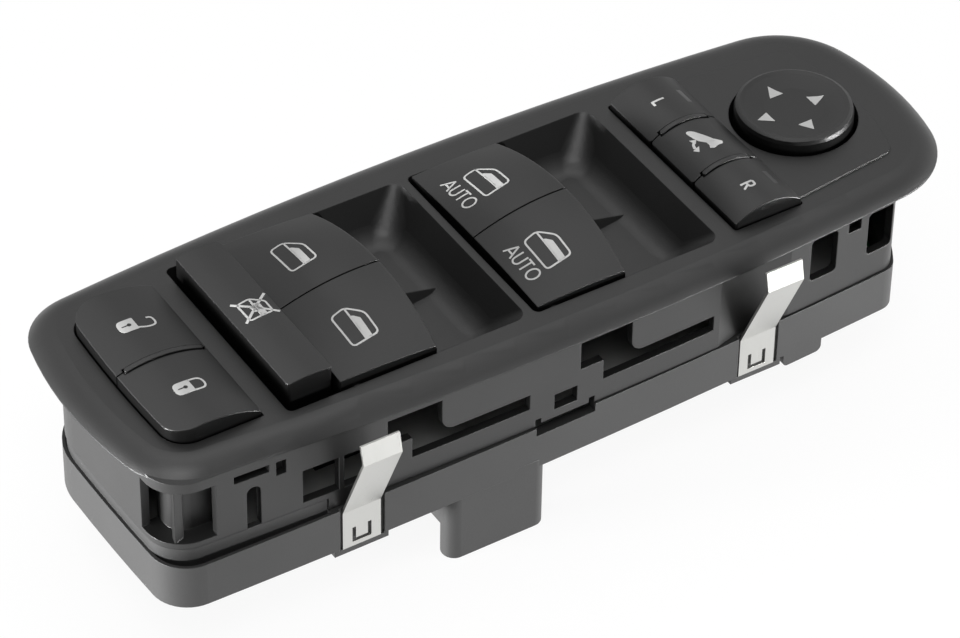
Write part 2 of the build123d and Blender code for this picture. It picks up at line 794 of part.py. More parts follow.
def lockout_bar():
    x, y, travel = control_points()["lockout_button"]
    half = bar_half_span
    outer = rounded_block(bar_left, bar_right, -half, half, cap_skirt_bottom, 20, 0.8)
    inner = block(bar_left + cap_wall, bar_right - cap_wall, -half + cap_wall, half - cap_wall,
                  cap_skirt_bottom - 1, 20)
    bar = cap_shell(outer, inner, bar_left, bar_right, (bar_side_height, bar_crest, bar_side_height + 0.2))
    half_stem = stem_size / 2
    floor_bottom = face_height - pocket_depth - pocket_shell
    post = block(x - half_stem, x + half_stem, -half_stem, half_stem, stem_bottom(travel),
                 bar_side_height - 0.5) & block(bar_left + 0.5, bar_right - 0.5, -20, 20, -50, 20)
    hook_top = floor_bottom - hook_play
    hooks = block(x - half_stem - hook_reach, x + half_stem + hook_reach, -half_stem / 2, half_stem / 2,
                  hook_top - hook_height, hook_top)
    return bar + post + hooks


def knob():
    """Mirror knob: dished cap, hub with two pins for the gimbal, and the stem."""
    rim_z = knob_top
    skirt = knob_radius
    profile = Polyline((0, rim_z - knob_dish), (knob_dish_flat, rim_z - knob_dish),
                       (knob_ring_radius, rim_z - knob_ring_drop), (skirt - 1.2, rim_z), (skirt - 0.3, rim_z - 0.5),
                       (skirt, rim_z - 1.4), (skirt + 0.1, knob_skirt_bottom),
                       (skirt - knob_wall, knob_skirt_bottom), (skirt - knob_wall, rim_z - knob_wall - 1.2),
                       (knob_hub_radius, rim_z - knob_dish - knob_wall),
                       (knob_hub_radius, gimbal_height - gimbal_thickness / 2),
                       (knob_stem_radius, gimbal_height - gimbal_thickness / 2),
                       (knob_stem_radius, actuator_top() - actuator_thickness),
                       (0, actuator_top() - actuator_thickness), (0, rim_z - knob_dish))
    section = make_face(Plane.XZ * profile)
    body = Pos(knob_x, 0, 0) * revolve(section, Axis.Z)
    pin_reach = gimbal_outer - 0.5
    return body + rod_y(knob_x, -pin_reach, pin_reach, gimbal_height, gimbal_pin_radius)


def actuator_top():
    return knob_floor - knob_floor_thickness - 1.6


def knob_gimbal():
    """Ring between knob and tub: the knob's pins lie along Y, the ring's own along X."""
    ring = Cylinder(gimbal_outer, gimbal_thickness) - Cylinder(gimbal_inner, gimbal_thickness)
    body = Pos(knob_x, 0, gimbal_height) * ring
    reach = gimbal_outer + gimbal_play + gimbal_post - 0.4
    pins = rod_x(knob_x - reach, knob_x + reach, 0, gimbal_height, gimbal_pin_radius)
    pins -= Pos(knob_x, 0, gimbal_height) * Cylinder(gimbal_inner + 0.5, gimbal_thickness)
    holes = rod_y(knob_x, -gimbal_outer - 1, gimbal_outer + 1, gimbal_height, gimbal_pin_radius + trunnion_fit)
    return body + pins - holes


def knob_actuator():
    """Cross on the end of the stem, with a finger over each of four domes."""
    top = actuator_top()
    body = Pos(knob_x, 0, top - actuator_thickness / 2) * Cylinder(knob_hub_radius, actuator_thickness)
    for a in (0, 90):
        arm = Box(2 * knob_foot_radius + finger_size, finger_size, actuator_thickness)
        body += Pos(knob_x, 0, top - actuator_thickness / 2) * Rot(0, 0, a) * arm
    finger_bottom = dome_top() + knob_finger_drop + stem_play
    half = finger_size / 2
    for x, y in knob_finger_points():
        body += block(x - half, x + half, y - half, y + half, finger_bottom, top - actuator_thickness / 2)
    return body - Pos(knob_x, 0, top) * Cylinder(knob_stem_radius, 4 * actuator_thickness)


def contact_mat():
    """Silicone sheet with a dome under each stem and openings for the lever switches."""
    mat = prism(base_plan(base_flange + board_clear + 1), board_top, board_top + mat_thickness)
    points = [(x, y) for x, y, travel in control_points().values()] + knob_finger_points()
    for x, y in points:
        radius = dome_radius if x < knob_x - knob_hub_radius - knob_foot_radius else small_dome_radius
        dome = Cone(radius, radius * 0.6, dome_height, align=(Align.CENTER, Align.CENTER, Align.MIN))
        mat += Pos(x, y, board_top + mat_thickness) * dome
    for x, y in switch_points():
        mat -= Pos(x, y, board_top) * Box(switch_length + 1, switch_width + 1, 4 * mat_thickness)
    for x, y in led_points():
        mat -= Pos(x, y, board_top) * Box(led_size + 1, led_size + 1, 4 * mat_thickness)
    return mat


def switch_points():
    return [(pivot_x(group), side * leg_offset_y) for group in ("rear", "front") for side in (-1, 1)]


def led_points():
    return [(mirror_right - lens_inset - lens_width / 2,
             mirror_middle_y + side * (mirror_half_span + mirror_split) / 2)
            for side in (-1, 1)]


def window_switches():
    """Lever switches on the board, one round the foot of each paddle's leg."""
    group = Part()
    for x, y in switch_points():
        case = Pos(x, y, board_top) * Box(switch_length, switch_width, switch_height,
                                          align=(Align.CENTER, Align.CENTER, Align.MIN))
        slot = Pos(x, y, switch_slot_floor()) * Box(
            leg_thickness + 2 * switch_slot_room, leg_width + 0.8, switch_height,
            align=(Align.CENTER, Align.CENTER, Align.MIN))
        group += case - slot
    return group


def indicator_leds():
    group = Part()
    for x, y in led_points():
        group += Pos(x, y, board_top) * Box(led_size, led_size, 1.6,
                                            align=(Align.CENTER, Align.CENTER, Align.MIN))
    return group


def circuit_board():
    return prism(base_plan(base_flange + board_clear), board_top - board_thickness, board_top)


def front_clip_spots():
    return [(x, wall_y(x + clip_width / 2, base_half_width, base_side_bow, base_bow_x)) for x in clip_lefts]


def base_housing():
    """Lower case: floor, wall with a top flange, clip pockets and the connector shroud."""
    top = -skirt_depth - seam_gap
    body = prism(base_plan(), base_bottom, top)
    body -= prism(base_plan(base_wall), base_bottom + base_floor, top - base_flange_height)
    body -= prism(base_plan(base_flange), top - base_flange_height - 0.01, top + 1)
    rim_top = -left_skirt_depth - seam_gap
    rim = prism(body_plan(rim_inset) - body_plan(rim_inset + rim_wall), top - trough_depth - 1, rim_top)
    body += rim & block(-200, left_zone_end - seam_gap, -100, 100, -50, 50)
    trough = prism(base_plan(trough_lip) - body_plan(rim_inset), top - trough_depth, top + 5)
    body -= trough - block(left_zone_end - seam_gap, right_zone_start, -100, 100, -50, 50)
    for x, y in board_posts():
        body += Pos(x, y, base_bottom + base_floor - 0.5) * Cylinder(
            board_post_radius, board_top - board_thickness - base_bottom - base_floor + 0.5,
            align=(Align.CENTER, Align.CENTER, Align.MIN))
    near_strip = base_plan() & (Pos(foot_left, -base_half_width - 1) * Rectangle(
        foot_right - foot_left, foot_depth, align=(Align.MIN, Align.MIN)))
    foot = prism(near_strip, base_bottom - foot_drop, base_bottom + 0.5)
    foot = fillet(foot.edges().filter_by(Axis.Y).group_by(Axis.Z)[0], foot_corner)
    body += foot
    body += shroud_solid()
    bracket_y = wall_y(bracket_left, base_half_width, base_side_bow, base_bow_x)
    body -= block(bracket_left, bracket_left + bracket_width, bracket_y - 1, bracket_y + base_flange + 1,
                  bracket_slot_bottom, top + 1)
    for x, y in front_clip_spots():
        body += clip_boss(x, y)
        body -= clip_pocket(x, y)
    for x, y in pin_points():
        body -= Pos(x, y, base_bottom) * Box(pin_size, pin_size, 3 * base_floor)
    return body


def clip_boss(x, y):
    """Thickening below the case's edge, that holds the lower end of a clip's foot."""
    room = clip_side_room + clip_boss_wall
    return block(x - room, x + clip_width + room, y + 0.4, y + clip_boss_depth, base_bottom - clip_boss_drop,
                 base_bottom + 0.5)


def clip_pocket(x, y):
    """Recess for a clip's foot, open at its top and closed by a ledge at its bottom."""
    return block(x - clip_side_room, x + clip_width + clip_side_room, y - 5, y + clip_pocket_depth,
                 clip_foot_bottom, -skirt_depth + 1)


def board_posts():
    return [(-92, -18), (-40, 15), (5, -24), (5, 15), (60, -24), (60, 15)]


def shroud_solid():
    front = wall_y((shroud_left + shroud_right) / 2, base_half_width, base_side_bow, base_bow_x) + 0.05
    bottom = base_bottom - shroud_drop
    outer = rounded_block(shroud_left, shroud_right, front, front + shroud_length_y, bottom,
                          base_bottom + base_floor, shroud_corner)
    inner = rounded_block(shroud_left + shroud_wall, shroud_right - shroud_wall, front + shroud_wall,
                          front + shroud_length_y - shroud_wall, bottom - 1, base_bottom + 0.5,
                          shroud_corner - shroud_wall)
    guard_bottom = base_bottom - guard_drop
    guard = rounded_block(shroud_left, shroud_right, front, front + guard_depth, guard_bottom, bottom + 0.5,
                          shroud_corner)
    guard -= block(shroud_left + shroud_wall, shroud_right - shroud_wall, front + shroud_wall,
                   front + guard_depth + 1, guard_bottom - 1, bottom + 1)
    return outer - inner + guard


def pin_points():
    """Rows of pins round the middle of the connector."""
    middle_x = (shroud_left + shroud_right) / 2
    middle_y = wall_y(middle_x, base_half_width, base_side_bow, base_bow_x) + shroud_length_y / 2
    return [(middle_x + (column - (pin_columns - 1) / 2) * pin_pitch_x,
             middle_y + (row - (pin_rows - 1) / 2) * pin_pitch_y)
            for row in range(pin_rows) for column in range(pin_columns)]


def connector_pins():
    half = pin_size / 2
    group = Part()
    for x, y in pin_points():
        group += block(x - half, x + half, y - half, y + half, pin_tip, board_top - board_thickness)
    return group


def clip(x0, wall):
    """Spring clip folded from strip: flat foot, leaf that springs outwards, and its lip."""
    foot_y = wall + clip_pocket_depth - clip_metal / 2
    path = Polyline((foot_y, clip_foot_bottom), (foot_y, clip_bend), (foot_y - clip_knee_out, clip_knee),
                    (foot_y - clip_knee_out + clip_lip_in, clip_tip))
    strip = trace(path, clip_metal)
    body = extrude(Plane.YZ.offset(x0) * strip, clip_width)
    slot_x = x0 + clip_width / 2
    cut = block(slot_x - 2.4, slot_x + 2.4, foot_y - 2, foot_y + 2, clip_foot_bottom + 1.2, clip_foot_bottom + 5.4)
    tab = block(slot_x - 1.5, slot_x + 1.5, foot_y - 3, foot_y + 3, clip_foot_bottom + 2.1, clip_foot_bottom + 6)
    return body - (cut - tab)


def build_all():
    nodes = {"bezel": bezel(), "base_housing": base_housing()}
    for group in ("rear", "front"):
        for side, word in ((1, "left"), (-1, "right")):
            nodes[group + "_" + word + "_paddle"] = paddle(group, side)
    nodes["lockout_button"] = lockout_bar()
    nodes["unlock_button"] = lock_cap(1)
    nodes["lock_button"] = lock_cap(-1)
    split = mirror_split
    outer = mirror_half_span - cap_gap
    gap = split_gap / 2
    nodes["mirror_left_button"] = mirror_cap("mirror_left_button", split + gap, outer) - lens_space(1)
    nodes["mirror_fold_button"] = mirror_cap("mirror_fold_button", -split + gap, split - gap)
    nodes["mirror_right_button"] = mirror_cap("mirror_right_button", -outer, -split - gap) - lens_space(-1)
    nodes["left_indicator_lens"] = lens_space(1)
    nodes["right_indicator_lens"] = lens_space(-1)
    nodes["mirror_knob"] = knob()
    nodes["knob_gimbal"] = knob_gimbal()
    nodes["knob_actuator"] = knob_actuator()
    nodes["circuit_board"] = circuit_board()
    nodes["contact_mat"] = contact_mat()
    nodes["window_switches"] = window_switches()
    nodes["indicator_leds"] = indicator_leds()
    nodes["connector_pins"] = connector_pins()
    for (x, y), word in zip(front_clip_spots(), ("left", "right")):
        nodes[word + "_clip"] = clip(x, y)
    return nodes


os.makedirs("parts", exist_ok=True)
for node, shape in build_all().items():
    shape.label = node
    export_step(shape, "parts/" + node + ".step")
    print(node, len(shape.solids()), round(shape.volume, 1), shape.is_valid)
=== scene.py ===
import math

import bpy
import numpy as np
from mathutils import Matrix, Vector


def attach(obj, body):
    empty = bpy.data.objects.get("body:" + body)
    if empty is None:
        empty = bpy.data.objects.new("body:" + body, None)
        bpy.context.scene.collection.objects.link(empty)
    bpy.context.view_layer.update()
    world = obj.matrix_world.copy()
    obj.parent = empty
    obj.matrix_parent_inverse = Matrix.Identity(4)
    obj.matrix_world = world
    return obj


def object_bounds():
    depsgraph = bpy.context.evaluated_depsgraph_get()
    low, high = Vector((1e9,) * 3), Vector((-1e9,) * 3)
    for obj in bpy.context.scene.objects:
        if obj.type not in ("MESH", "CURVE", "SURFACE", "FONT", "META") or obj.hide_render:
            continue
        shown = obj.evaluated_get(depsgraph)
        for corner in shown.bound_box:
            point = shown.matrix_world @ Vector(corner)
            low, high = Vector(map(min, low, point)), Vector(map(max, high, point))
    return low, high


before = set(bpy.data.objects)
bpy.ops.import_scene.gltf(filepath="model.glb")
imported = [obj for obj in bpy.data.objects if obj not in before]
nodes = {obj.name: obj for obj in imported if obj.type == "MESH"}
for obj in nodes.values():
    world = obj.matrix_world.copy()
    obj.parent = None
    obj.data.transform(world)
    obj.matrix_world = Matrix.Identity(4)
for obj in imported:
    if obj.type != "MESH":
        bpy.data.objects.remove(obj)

# Driver's door power window switch: finishes, printed symbols and a small studio.
# Symbols are drawn in millimetres as a reader of the panel sees them, with their up side towards +X.

mm = 0.001
cadBox = [list(corner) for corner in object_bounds()]
print("frame loaded,", len(nodes), "nodes")


# Materials

def hexLinear(code):
    # sRGB hex to linear RGBA: the usual curve, x/12.92 near black and ((x+0.055)/1.055)^2.4 above it
    values = [int(code[i:i + 2], 16) / 255 for i in (1, 3, 5)]
    return [v / 12.92 if v <= 0.04045 else ((v + 0.055) / 1.055) ** 2.4 for v in values] + [1.0]


def addNode(tree, kind, settings=None, inputs=None, links=None):
    # one node: settings are attributes, inputs are socket values, links join other nodes' sockets to its own
    node = tree.nodes.new(kind)
    for key, value in (settings or {}).items():
        setattr(node, key, value)
    for key, value in (inputs or {}).items():
        node.inputs[key].default_value = value
    for key, socket in (links or {}).items():
        tree.links.new(socket, node.inputs[key])
    return node


def startMaterial(name):
    # a new material, its node tree, its shader and its texture coordinates
    material = bpy.data.materials.new(name)
    material.use_nodes = True
    tree = material.node_tree
    shader = tree.nodes["Principled BSDF"]
    coords = addNode(tree, "ShaderNodeTexCoord")
    return material, tree, shader, coords


# the two limits are cosines of the angle between the two normals
edgeMix = {"samples": 6, "sameAbove": 0.992, "roundedBelow": 0.965}


def softEdge(tree, radiusMm):
    # the rounded normal near edges and the mesh's own normal elsewhere: how far the two differ sets the mix
    rounded = addNode(tree, "ShaderNodeBevel", {"samples": edgeMix["samples"]}, {"Radius": radiusMm * mm})
    own = addNode(tree, "ShaderNodeNewGeometry")
    agree = addNode(tree, "ShaderNodeVectorMath", {"operation": "DOT_PRODUCT"}, None,
                    {0: rounded.outputs["Normal"], 1: own.outputs["Normal"]})
    share = addNode(tree, "ShaderNodeMapRange", None,
                    {"From Min": edgeMix["sameAbove"], "From Max": edgeMix["roundedBelow"]},
                    {"Value": agree.outputs["Value"]})
    mixed = addNode(tree, "ShaderNodeMix", {"data_type": "VECTOR"}, None,
                    {"Factor": share.outputs["Result"], "A": own.outputs["Normal"],
                     "B": rounded.outputs["Normal"]})
    return mixed.outputs["Result"]


grainNoise = {"detail": 3.0, "roughness": 0.6}
slowNoiseDetail = 2.0  # for drifts of shade and faint mottles


def grainBump(tree, coords, grainMm, heightMm, softEdgeMm):
    # fine moulded grain on softened edges: noise whose cells are grainMm across
    noise = addNode(tree, "ShaderNodeTexNoise", None,
                    {"Scale": 1 / (grainMm * mm), "Detail": grainNoise["detail"],
                     "Roughness": grainNoise["roughness"]},
                    {"Vector": coords.outputs["Object"]})
    bump = addNode(tree, "ShaderNodeBump", None, {"Strength": 1.0, "Distance": heightMm * mm},
                   {"Height": noise.outputs["Fac"], "Normal": softEdge(tree, softEdgeMm)})
    return noise, bump


dustColour = "#8a8a88"  # pale lint


def dustOver(tree, coords, colour, cellMm, speckMm, share):
    # pale specks on a share of the cells of a Voronoi pattern, each speckMm across
    cells = addNode(tree, "ShaderNodeTexVoronoi", None, {"Scale": 1 / (cellMm * mm)},
                    {"Vector": coords.outputs["Object"]})
    near = addNode(tree, "ShaderNodeMath", {"operation": "LESS_THAN"}, {1: speckMm / cellMm / 2},
                   {0: cells.outputs["Distance"]})
    chosen = addNode(tree, "ShaderNodeMath", {"operation": "LESS_THAN"}, {1: share},
                     {0: cells.outputs["Color"]})
    speck = addNode(tree, "ShaderNodeMath", {"operation": "MULTIPLY"}, None,
                    {0: near.outputs[0], 1: chosen.outputs[0]})
    mixed = addNode(tree, "ShaderNodeMix", {"data_type": "RGBA"}, {"B": hexLinear(dustColour)},
                    {"Factor": speck.outputs[0], "A": colour})
    return mixed.outputs["Result"]


def mouldedPlastic(name, look):
    # moulded ABS: near black, with a spark-eroded grain, a slow drift of shade and a few pale specks of dust
    material, tree, shader, coords = startMaterial(name)
    noise, bump = grainBump(tree, coords, look["grainMm"], look["grainHeightMm"], look["softEdgeMm"])
    drift = addNode(tree, "ShaderNodeTexNoise", None,
                    {"Scale": 1 / (look["driftMm"] * mm), "Detail": slowNoiseDetail},
                    {"Vector": coords.outputs["Object"]})
    ramp = addNode(tree, "ShaderNodeValToRGB", None, None, {"Fac": drift.outputs["Fac"]})
    for stop, place, shade in zip(ramp.color_ramp.elements, look["stops"], ("low", "high")):
        stop.position = place
        stop.color = hexLinear(look[shade])
    rough = addNode(tree, "ShaderNodeMapRange", None,
                    {"To Min": look["roughLow"], "To Max": look["roughHigh"]}, {"Value": noise.outputs["Fac"]})
    dusty = dustOver(tree, coords, ramp.outputs["Color"], look["dustCellMm"], look["dustMm"],
                     look["dustShare"])
    tree.links.new(dusty, shader.inputs["Base Color"])
    tree.links.new(rough.outputs["Result"], shader.inputs["Roughness"])
    tree.links.new(bump.outputs["Normal"], shader.inputs["Normal"])
    shader.inputs["IOR"].default_value = look["ior"]
    shader.inputs["Specular IOR Level"].default_value = look["specular"]
    return material


def shadedSideCapFinish(name, look):
    # soft-touch paint on the faces that look up, a near-black painted shade on the sides below them
    material, tree, shader, coords = startMaterial(name)
    noise, bump = grainBump(tree, coords, look["grainMm"], look["grainHeightMm"], look["softEdgeMm"])
    upwards = addNode(tree, "ShaderNodeSeparateXYZ", None, None, {"Vector": coords.outputs["Normal"]})
    onTop = addNode(tree, "ShaderNodeMapRange", None,
                    {"From Min": look["sideBelow"], "From Max": look["topAbove"]},
                    {"Value": upwards.outputs["Z"]})
    fleck = addNode(tree, "ShaderNodeValToRGB", None, None, {"Fac": noise.outputs["Fac"]})
    for stop, place, shade in zip(fleck.color_ramp.elements, look["stops"], ("low", "high")):
        stop.position = place
        stop.color = hexLinear(look[shade])
    # the sides' near-black colour is painted shade, mixed in where the normal points less upwards
    colour = addNode(tree, "ShaderNodeMix", {"data_type": "RGBA"}, {"A": hexLinear(look["side"])},
                     {"Factor": onTop.outputs["Result"], "B": fleck.outputs["Color"]})
    rough = addNode(tree, "ShaderNodeMapRange", None,
                    {"To Min": look["sideRough"], "To Max": look["topRough"]},
                    {"Value": onTop.outputs["Result"]})
    tree.links.new(colour.outputs["Result"], shader.inputs["Base Color"])
    tree.links.new(rough.outputs["Result"], shader.inputs["Roughness"])
    tree.links.new(bump.outputs["Normal"], shader.inputs["Normal"])
    shader.inputs["IOR"].default_value = look["ior"]
    shader.inputs["Specular IOR Level"].default_value = look["specular"]
    return material


def springSteel(name, look):
    # rolled and stamped stainless spring steel: fine scratches along the strip's length
    material, tree, shader, coords = startMaterial(name)
    across, lengthwise = 1 / (look["scratchMm"] * mm), 1 / (look["runMm"] * mm)
    stretch = addNode(tree, "ShaderNodeMapping", None, {"Scale": [across, lengthwise, lengthwise]},
                      {"Vector": coords.outputs["Object"]})
    scratch = addNode(tree, "ShaderNodeTexNoise", None, {"Scale": 1.0, "Detail": look["scratchDetail"]},
                      {"Vector": stretch.outputs["Vector"]})
    rough = addNode(tree, "ShaderNodeMapRange", None,
                    {"To Min": look["roughLow"], "To Max": look["roughHigh"]},
                    {"Value": scratch.outputs["Fac"]})
    bump = addNode(tree, "ShaderNodeBump", None,
                   {"Strength": look["scratchStrength"], "Distance": look["scratchHeightMm"] * mm},
                   {"Height": scratch.outputs["Fac"], "Normal": softEdge(tree, look["softEdgeMm"])})
    tree.links.new(rough.outputs["Result"], shader.inputs["Roughness"])
    tree.links.new(bump.outputs["Normal"], shader.inputs["Normal"])
    shader.inputs["Base Color"].default_value = hexLinear(look["colour"])
    shader.inputs["Metallic"].default_value = 1.0
    return material


def plainFinish(name, look):
    # one even colour with a faint mottle, for small parts inside the case and for ink
    material, tree, shader, coords = startMaterial(name)
    noise = addNode(tree, "ShaderNodeTexNoise", None,
                    {"Scale": 1 / (look["mottleMm"] * mm), "Detail": slowNoiseDetail},
                    {"Vector": coords.outputs["Object"]})
    ramp = addNode(tree, "ShaderNodeValToRGB", None, None, {"Fac": noise.outputs["Fac"]})
    ramp.color_ramp.elements[0].color = hexLinear(look["low"])
    ramp.color_ramp.elements[1].color = hexLinear(look["high"])
    tree.links.new(ramp.outputs["Color"], shader.inputs["Base Color"])
    shader.inputs["Roughness"].default_value = look["rough"]
    shader.inputs["Metallic"].default_value = look.get("metallic", 0.0)
    return material


# Bezel: black ABS, injection moulded in a spark-eroded mould; a dark satin with a fine grain, a little dusty
bezelAbs = mouldedPlastic("bezelMouldedAbs", {
    "low": "#1a1a1a", "high": "#1f1f1f", "stops": (0.3, 0.7), "roughLow": 0.34, "roughHigh": 0.48,
    "ior": 1.53, "specular": 0.5, "driftMm": 25, "softEdgeMm": 0.35,
    "grainMm": 0.28,  # the real spark-eroded grain is about 0.1 mm, drawn coarser so that it shows
    "grainHeightMm": 0.03, "dustCellMm": 9, "dustMm": 0.32, "dustShare": 0.35})
# Lower case: black ABS, injection moulded with a plainer finish; a duller and greyer black than the bezel
caseAbs = mouldedPlastic("caseMouldedAbs", {
    "low": "#252525", "high": "#2b2b2b", "stops": (0.3, 0.7), "roughLow": 0.42, "roughHigh": 0.58,
    "ior": 1.53, "specular": 0.5, "driftMm": 30, "softEdgeMm": 0.3,
    "grainMm": 0.35,  # drawn coarser than the real 0.1 mm too
    "grainHeightMm": 0.02, "dustCellMm": 12, "dustMm": 0.25, "dustShare": 0.2})
# Caps, bar, paddles, knob: moulded ABS, soft-touch paint sprayed on; flat charcoal tops, glossier sides in
# painted shade
capPaintAndSideShade = shadedSideCapFinish("softTouchCapWithShadedSides", {
    # side: a near-black painted shade for the sides
    "low": "#1b1b1b", "high": "#222222", "stops": (0.25, 0.75), "side": "#060606", "topRough": 0.5,
    "sideRough": 0.3, "ior": 1.5, "specular": 0.5, "softEdgeMm": 0.45,
    "sideBelow": 0.45, "topAbove": 0.62,  # upward parts of the normal, between which the paint gives way to the painted shade of the sides
    "grainMm": 0.3,  # paint texture, drawn coarser than the real 0.1 mm
    "grainHeightMm": 0.012})
# Clips: stainless spring steel, rolled, stamped and bent; bright, with fine scratches
clipSteel = springSteel("clipSpringSteel", {
    "colour": "#c9c9c6", "roughLow": 0.22, "roughHigh": 0.4, "scratchMm": 0.12, "runMm": 4.0,
    "scratchHeightMm": 0.004, "scratchStrength": 0.4, "scratchDetail": 4.0, "softEdgeMm": 0.12})
# Symbols: pale grey ink, pad printed and cured; flat, very slightly uneven
symbolInk = plainFinish("symbolPrintedInk", {
    "low": "#bababa", "high": "#c6c6c4", "rough": 0.55, "mottleMm": 0.8})
# Keyholes: the cap's own soft-touch paint, left bare inside the printed padlock
keyholePaint = plainFinish("keyholeCapPaint", {
    "low": "#1b1b1b", "high": "#222222", "rough": 0.5, "mottleMm": 0.3})
# Indicator windows: polycarbonate moulded with a dark tint; smooth, and nearly black while unlit
lensSmoke = plainFinish("lensSmokedPolycarbonate", {
    "low": "#343434", "high": "#3a3a3a", "rough": 0.3, "mottleMm": 2})
# Circuit board: glass-fibre laminate under green lacquer; smooth and half gloss
boardLaminate = plainFinish("boardLacqueredLaminate", {
    "low": "#1d4a2c", "high": "#235634", "rough": 0.35, "mottleMm": 3})
# Contact mat: silicone rubber, press moulded; milky and dull
matSilicone = plainFinish("matMilkySilicone", {
    "low": "#a9aaa8", "high": "#b4b5b3", "rough": 0.6, "mottleMm": 4})
# Lever switches: black nylon, injection moulded; plain satin
switchNylon = plainFinish("switchBlackNylon", {
    "low": "#202020", "high": "#272727", "rough": 0.5, "mottleMm": 2})
# Gimbal and actuator: uncoloured acetal, injection moulded; off-white and waxy
innerAcetal = plainFinish("innerNaturalAcetal", {
    "low": "#a9a9a4", "high": "#b5b5b0", "rough": 0.4, "mottleMm": 4})
# Indicator lamps: cast epoxy; pale and glossy
ledEpoxy = plainFinish("ledPaleEpoxy", {
    "low": "#d6d2c4", "high": "#e0dccf", "rough": 0.25, "mottleMm": 1})
# Connector pins: brass, stamped and tinned; a pale warm metal
pinTin = plainFinish("pinTinnedBrass", {
    "low": "#b9b29a", "high": "#c6bfa8", "rough": 0.3, "mottleMm": 1, "metallic": 1.0})

# a node that isn't listed here is a painted cap
finishes = {
    "bezel": bezelAbs, "base_housing": caseAbs, "left_clip": clipSteel, "right_clip": clipSteel,
    "left_indicator_lens": lensSmoke, "right_indicator_lens": lensSmoke, "circuit_board": boardLaminate,
    "contact_mat": matSilicone, "window_switches": switchNylon, "indicator_leds": ledEpoxy,
    "connector_pins": pinTin, "knob_gimbal": innerAcetal, "knob_actuator": innerAcetal,
}
for nodeName, nodeObject in nodes.items():
    nodeObject.data.materials.clear()
    nodeObject.data.materials.append(finishes.get(nodeName, capPaintAndSideShade))
print("finishes set:", len(set(finishes.values())) + 1)


# Flat shapes for the printed symbols, each a pair of arrays: points (u to the reader's right, v up) and faces

def gridFaces(rows, columns, closedRows=False):
    # quads of a rows by columns grid of points, joined end to start where the rows form a loop
    index = np.arange(rows * columns).reshape(rows, columns)
    after = np.roll(index, -1, axis=0)
    first, second = (index, after) if closedRows else (index[:-1], after[:-1])
    return np.stack([first[:, :-1], first[:, 1:], second[:, 1:], second[:, :-1]], axis=-1).reshape(-1, 4)


def resample(path, step, closed=False):
    # points every step along a broken line, by its running length
    line = np.vstack([path, path[:1]]) if closed else np.asarray(path, float)
    along = np.concatenate([[0], np.cumsum(np.linalg.norm(np.diff(line, axis=0), axis=1))])
    count = max(int(along[-1] / step), 2)
    where = np.linspace(0, along[-1], count + 1)
    if closed:
        where = where[:-1]
    return np.column_stack([np.interp(where, along, line[:, 0]), np.interp(where, along, line[:, 1])])


def roundedLine(corners, radius, closed=False, arcPoints=7):
    # a broken line whose corners are rounded: each corner c becomes (1-t)^2 a + 2t(1-t) c + t^2 b,
    # where a and b lie up to radius before and after it
    corners = np.asarray(corners, float)
    t = np.linspace(0, 1, arcPoints)[:, None]
    pieces = []
    for i, corner in enumerate(corners):
        if not closed and i in (0, len(corners) - 1):
            pieces.append(corner[None])
            continue
        before = corners[i - 1] - corner
        after = corners[(i + 1) % len(corners)] - corner
        a = corner + before * min(radius / np.linalg.norm(before), 0.5)
        b = corner + after * min(radius / np.linalg.norm(after), 0.5)
        pieces.append((1 - t) ** 2 * a + 2 * t * (1 - t) * corner + t ** 2 * b)
    return np.vstack(pieces)


def ribbon(path, width, closed=False, step=0.22, across=3):
    # a stroke: the path's point plus s times its left normal, s from plus to minus half the width
    line = resample(path, step, closed)
    if closed:
        along = np.roll(line, -1, axis=0) - np.roll(line, 1, axis=0)
    else:
        along = np.gradient(line, axis=0)
    along /= np.linalg.norm(along, axis=1)[:, None]
    normal = np.column_stack([-along[:, 1], along[:, 0]])
    s = np.linspace(0.5, -0.5, across)[None, :, None] * width
    points = line[:, None, :] + s * normal[:, None, :]
    return points.reshape(-1, 2), gridFaces(len(line), across, closed)


def patch(outline, step=0.25, rings=8, pinhole=0.001):
    # a filled shape: centre plus r times the way to its outline, r from pinhole to 1
    edge = resample(outline, step, closed=True)
    area = np.cross(edge, np.roll(edge, -1, axis=0)).sum()
    edge = edge if area > 0 else edge[::-1]
    centre = edge.mean(axis=0)
    r = np.linspace(pinhole, 1, rings)[None, :, None]
    points = centre + r * (edge[:, None, :] - centre)
    faces = gridFaces(len(edge), rings, closedRows=True)
    return points.reshape(-1, 2), faces


def ellipse(centre, halfWidth, halfHeight, start=0.0, end=360.0, count=33):
    # points at centre plus (halfWidth cos a, halfHeight sin a), a from start to end in degrees
    angle = np.radians(np.linspace(start, end, count))
    return np.column_stack([centre[0] + halfWidth * np.cos(angle), centre[1] + halfHeight * np.sin(angle)])


def moved(shapes, du, dv):
    # the same shapes, shifted by (du, dv)
    return [(points + [du, dv], faces) for points, faces in shapes]


# Printed pieces: a symbol is laid on the cap below it by a downward projection, with the ink's thickness

ink = {"thickness": 0.035, "lift": 0.02, "dropFrom": 20.0}


